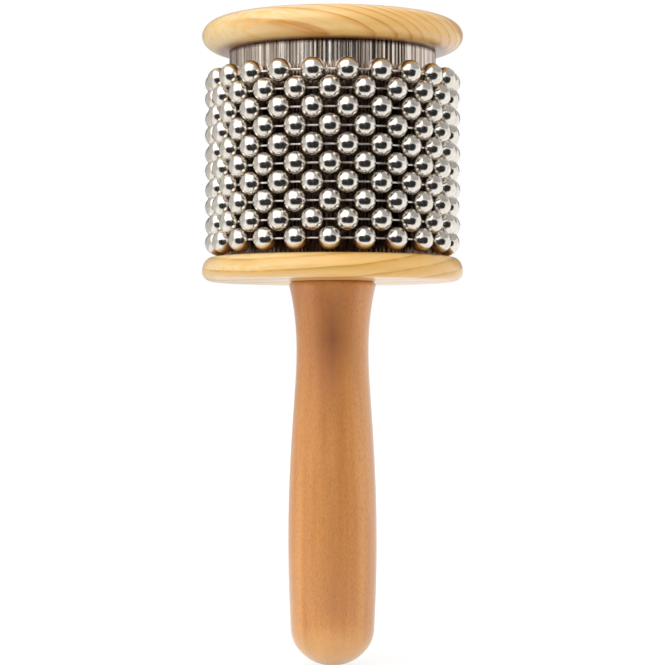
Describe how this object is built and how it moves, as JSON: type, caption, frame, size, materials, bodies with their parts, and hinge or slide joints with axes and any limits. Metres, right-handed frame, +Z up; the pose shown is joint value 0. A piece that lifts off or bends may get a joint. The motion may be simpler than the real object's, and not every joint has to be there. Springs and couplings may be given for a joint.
{
  "type": "cabasa",
  "caption": "Hand cabasa: loops of steel ball chain round a crimped steel drum between two pine discs on a turned beech handle.",
  "frame": {"origin": "on the axis at the middle of the handle, where the hand holds it", "axes": "+Z up along the axis from the handle to the drum; -Y is the front in the picture; the sleeve's seam is at +Y"},
  "size_m": [0.0802, 0.0802, 0.198],
  "materials": {
    "beech": "satin lacquered beech",
    "pine": "satin lacquered pine",
    "core_wood": "raw turned softwood",
    "sleeve_steel": "crimped stainless sheet",
    "bolt_steel": "zinc-plated steel",
    "insert_brass": "machined brass",
    "ball_steel": "polished nickel-plated steel",
    "pin_steel": "drawn nickel-plated steel wire"
  },
  "bodies": {
    "frame": {"handle": "beech", "handle_insert": "insert_brass", "lower_disc": "pine", "drum_core": "core_wood", "steel_sleeve": "sleeve_steel", "upper_disc": "pine", "tie_bolt": "bolt_steel", "bolt_washer": "bolt_steel", "top_plug": "pine"},
    "loop_01": {"loop_01_balls": "ball_steel", "loop_01_pins": "pin_steel"},
    "loop_02": {"loop_02_balls": "ball_steel", "loop_02_pins": "pin_steel"},
    "loop_03": {"loop_03_balls": "ball_steel", "loop_03_pins": "pin_steel"},
    "loop_04": {"loop_04_balls": "ball_steel", "loop_04_pins": "pin_steel"},
    "loop_05": {"loop_05_balls": "ball_steel", "loop_05_pins": "pin_steel"},
    "loop_06": {"loop_06_balls": "ball_steel", "loop_06_pins": "pin_steel"},
    "loop_07": {"loop_07_balls": "ball_steel", "loop_07_pins": "pin_steel"},
    "loop_08": {"loop_08_balls": "ball_steel", "loop_08_pins": "pin_steel"},
    "loop_09": {"loop_09_balls": "ball_steel", "loop_09_pins": "pin_steel"},
    "loop_10": {"loop_10_balls": "ball_steel", "loop_10_pins": "pin_steel"}
  },
  "joints": [
    {"name": "loop_01_spin", "type": "hinge", "parent": "frame", "child": "loop_01", "pos_m": [0, 0, 0.1], "axis": [0, 0, 1], "continuous": true},
    {"name": "loop_02_spin", "type": "hinge", "parent": "frame", "child": "loop_02", "pos_m": [0, 0, 0.1], "axis": [0, 0, 1], "continuous": true},
    {"name": "loop_03_spin", "type": "hinge", "parent": "frame", "child": "loop_03", "pos_m": [0, 0, 0.1], "axis": [0, 0, 1], "continuous": true},
    {"name": "loop_04_spin", "type": "hinge", "parent": "frame", "child": "loop_04", "pos_m": [0, 0, 0.1], "axis": [0, 0, 1], "continuous": true},
    {"name": "loop_05_spin", "type": "hinge", "parent": "frame", "child": "loop_05", "pos_m": [0, 0, 0.1], "axis": [0, 0, 1], "continuous": true},
    {"name": "loop_06_spin", "type": "hinge", "parent": "frame", "child": "loop_06", "pos_m": [0, 0, 0.1], "axis": [0, 0, 1], "continuous": true},
    {"name": "loop_07_spin", "type": "hinge", "parent": "frame", "child": "loop_07", "pos_m": [0, 0, 0.1], "axis": [0, 0, 1], "continuous": true},
    {"name": "loop_08_spin", "type": "hinge", "parent": "frame", "child": "loop_08", "pos_m": [0, 0, 0.1], "axis": [0, 0, 1], "continuous": true},
    {"name": "loop_09_spin", "type": "hinge", "parent": "frame", "child": "loop_09", "pos_m": [0, 0, 0.1], "axis": [0, 0, 1], "continuous": true},
    {"name": "loop_10_spin", "type": "hinge", "parent": "frame", "child": "loop_10", "pos_m": [0, 0, 0.1], "axis": [0, 0, 1], "continuous": true}
  ],
  "couplings": [
    {"joint": "loop_02_spin", "follows": "loop_01_spin", "ratio": 1},
    {"joint": "loop_03_spin", "follows": "loop_01_spin", "ratio": 1},
    {"joint": "loop_04_spin", "follows": "loop_01_spin", "ratio": 1},
    {"joint": "loop_05_spin", "follows": "loop_01_spin", "ratio": 1},
    {"joint": "loop_06_spin", "follows": "loop_01_spin", "ratio": 1},
    {"joint": "loop_07_spin", "follows": "loop_01_spin", "ratio": 1},
    {"joint": "loop_08_spin", "follows": "loop_01_spin", "ratio": 1},
    {"joint": "loop_09_spin", "follows": "loop_01_spin", "ratio": 1},
    {"joint": "loop_10_spin", "follows": "loop_01_spin", "ratio": 1}
  ]
}
